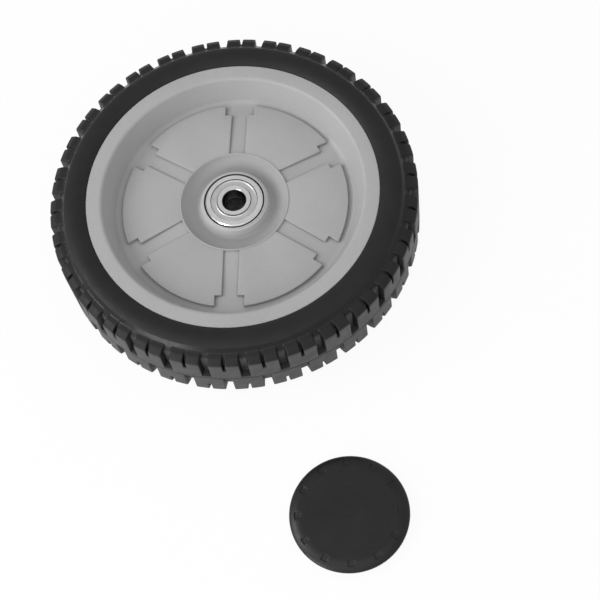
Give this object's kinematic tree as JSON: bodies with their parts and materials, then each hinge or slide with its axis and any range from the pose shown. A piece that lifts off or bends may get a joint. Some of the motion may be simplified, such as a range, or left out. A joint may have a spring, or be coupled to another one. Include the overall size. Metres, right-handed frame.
{
  "type": "lawn mower wheel",
  "caption": "Lawn mower wheel: black block-tread tyre on a dished grey plastic hub with shielded ball bearings for a plain axle, and its loose round black hub cap.",
  "frame": {"origin": "the wheel's centre, on the axle's axis and half way across the tyre", "axes": "+Z along the axle's axis, out of the wheel's outer face; +X along a spoke channel; the loose hub cap lies on the -Y side"},
  "size_m": [0.2032, 0.313, 0.0444],
  "materials": {
    "hub_plastic": "satin moulded grey",
    "tyre_rubber": "matt black rubber",
    "cap_plastic": "satin moulded black",
    "bearing_steel": "ground",
    "shield_steel": "pressed sheet",
    "spacer_steel": "turned",
    "ball_steel": "polished",
    "cage_nylon": "natural nylon"
  },
  "bodies": {
    "axle_sleeve": {"front_inner_ring": "bearing_steel", "back_inner_ring": "bearing_steel", "bearing_spacer": "spacer_steel", "hub_cap": "cap_plastic"},
    "wheel": {"wheel_hub": "hub_plastic", "tyre": "tyre_rubber", "front_outer_ring": "bearing_steel", "front_outside_shield": "shield_steel", "front_inside_shield": "shield_steel", "back_outer_ring": "bearing_steel", "back_outside_shield": "shield_steel", "back_inside_shield": "shield_steel"},
    "front_cage": {"front_cage": "cage_nylon"},
    "front_ball_1": {"front_ball_1": "ball_steel"},
    "front_ball_2": {"front_ball_2": "ball_steel"},
    "front_ball_3": {"front_ball_3": "ball_steel"},
    "front_ball_4": {"front_ball_4": "ball_steel"},
    "front_ball_5": {"front_ball_5": "ball_steel"},
    "front_ball_6": {"front_ball_6": "ball_steel"},
    "front_ball_7": {"front_ball_7": "ball_steel"},
    "back_cage": {"back_cage": "cage_nylon"},
    "back_ball_1": {"back_ball_1": "ball_steel"},
    "back_ball_2": {"back_ball_2": "ball_steel"},
    "back_ball_3": {"back_ball_3": "ball_steel"},
    "back_ball_4": {"back_ball_4": "ball_steel"},
    "back_ball_5": {"back_ball_5": "ball_steel"},
    "back_ball_6": {"back_ball_6": "ball_steel"},
    "back_ball_7": {"back_ball_7": "ball_steel"}
  },
  "joints": [
    {"name": "wheel_spin", "type": "hinge", "parent": "axle_sleeve", "child": "wheel", "pos_m": [0, 0, 0], "axis": [0, 0, 1], "continuous": true},
    {"name": "front_cage_turn", "type": "hinge", "parent": "axle_sleeve", "child": "front_cage", "pos_m": [0, 0, 0.0056], "axis": [0, 0, 1], "continuous": true},
    {"name": "front_ball_1_spin", "type": "hinge", "parent": "front_cage", "child": "front_ball_1", "pos_m": [0.011, 0, 0.0056], "axis": [0, 0, 1], "continuous": true},
    {"name": "front_ball_2_spin", "type": "hinge", "parent": "front_cage", "child": "front_ball_2", "pos_m": [0.00686, 0.0086, 0.0056], "axis": [0, 0, 1], "continuous": true},
    {"name": "front_ball_3_spin", "type": "hinge", "parent": "front_cage", "child": "front_ball_3", "pos_m": [-0.00245, 0.01072, 0.0056], "axis": [0, 0, 1], "continuous": true},
    {"name": "front_ball_4_spin", "type": "hinge", "parent": "front_cage", "child": "front_ball_4", "pos_m": [-0.00991, 0.00477, 0.0056], "axis": [0, 0, 1], "continuous": true},
    {"name": "front_ball_5_spin", "type": "hinge", "parent": "front_cage", "child": "front_ball_5", "pos_m": [-0.00991, -0.00477, 0.0056], "axis": [0, 0, 1], "continuous": true},
    {"name": "front_ball_6_spin", "type": "hinge", "parent": "front_cage", "child": "front_ball_6", "pos_m": [-0.00245, -0.01072, 0.0056], "axis": [0, 0, 1], "continuous": true},
    {"name": "front_ball_7_spin", "type": "hinge", "parent": "front_cage", "child": "front_ball_7", "pos_m": [0.00686, -0.0086, 0.0056], "axis": [0, 0, 1], "continuous": true},
    {"name": "back_cage_turn", "type": "hinge", "parent": "axle_sleeve", "child": "back_cage", "pos_m": [0, 0, -0.01615], "axis": [0, 0, 1], "continuous": true},
    {"name": "back_ball_1_spin", "type": "hinge", "parent": "back_cage", "child": "back_ball_1", "pos_m": [0.011, 0, -0.01615], "axis": [0, 0, 1], "continuous": true},
    {"name": "back_ball_2_spin", "type": "hinge", "parent": "back_cage", "child": "back_ball_2", "pos_m": [0.00686, -0.0086, -0.01615], "axis": [0, 0, 1], "continuous": true},
    {"name": "back_ball_3_spin", "type": "hinge", "parent": "back_cage", "child": "back_ball_3", "pos_m": [-0.00245, -0.01072, -0.01615], "axis": [0, 0, 1], "continuous": true},
    {"name": "back_ball_4_spin", "type": "hinge", "parent": "back_cage", "child": "back_ball_4", "pos_m": [-0.00991, -0.00477, -0.01615], "axis": [0, 0, 1], "continuous": true},
    {"name": "back_ball_5_spin", "type": "hinge", "parent": "back_cage", "child": "back_ball_5", "pos_m": [-0.00991, 0.00477, -0.01615], "axis": [0, 0, 1], "continuous": true},
    {"name": "back_ball_6_spin", "type": "hinge", "parent": "back_cage", "child": "back_ball_6", "pos_m": [-0.00245, 0.01072, -0.01615], "axis": [0, 0, 1], "continuous": true},
    {"name": "back_ball_7_spin", "type": "hinge", "parent": "back_cage", "child": "back_ball_7", "pos_m": [0.00686, 0.0086, -0.01615], "axis": [0, 0, 1], "continuous": true}
  ],
  "couplings": [
    {"joint": "front_cage_turn", "follows": "wheel_spin", "ratio": 0.6353},
    {"joint": "front_ball_1_spin", "follows": "wheel_spin", "ratio": 1.7125},
    {"joint": "front_ball_2_spin", "follows": "wheel_spin", "ratio": 1.7125},
    {"joint": "front_ball_3_spin", "follows": "wheel_spin", "ratio": 1.7125},
    {"joint": "front_ball_4_spin", "follows": "wheel_spin", "ratio": 1.7125},
    {"joint": "front_ball_5_spin", "follows": "wheel_spin", "ratio": 1.7125},
    {"joint": "front_ball_6_spin", "follows": "wheel_spin", "ratio": 1.7125},
    {"joint": "front_ball_7_spin", "follows": "wheel_spin", "ratio": 1.7125},
    {"joint": "back_cage_turn", "follows": "wheel_spin", "ratio": 0.6353},
    {"joint": "back_ball_1_spin", "follows": "wheel_spin", "ratio": 1.7125},
    {"joint": "back_ball_2_spin", "follows": "wheel_spin", "ratio": 1.7125},
    {"joint": "back_ball_3_spin", "follows": "wheel_spin", "ratio": 1.7125},
    {"joint": "back_ball_4_spin", "follows": "wheel_spin", "ratio": 1.7125},
    {"joint": "back_ball_5_spin", "follows": "wheel_spin", "ratio": 1.7125},
    {"joint": "back_ball_6_spin", "follows": "wheel_spin", "ratio": 1.7125},
    {"joint": "back_ball_7_spin", "follows": "wheel_spin", "ratio": 1.7125}
  ]
}
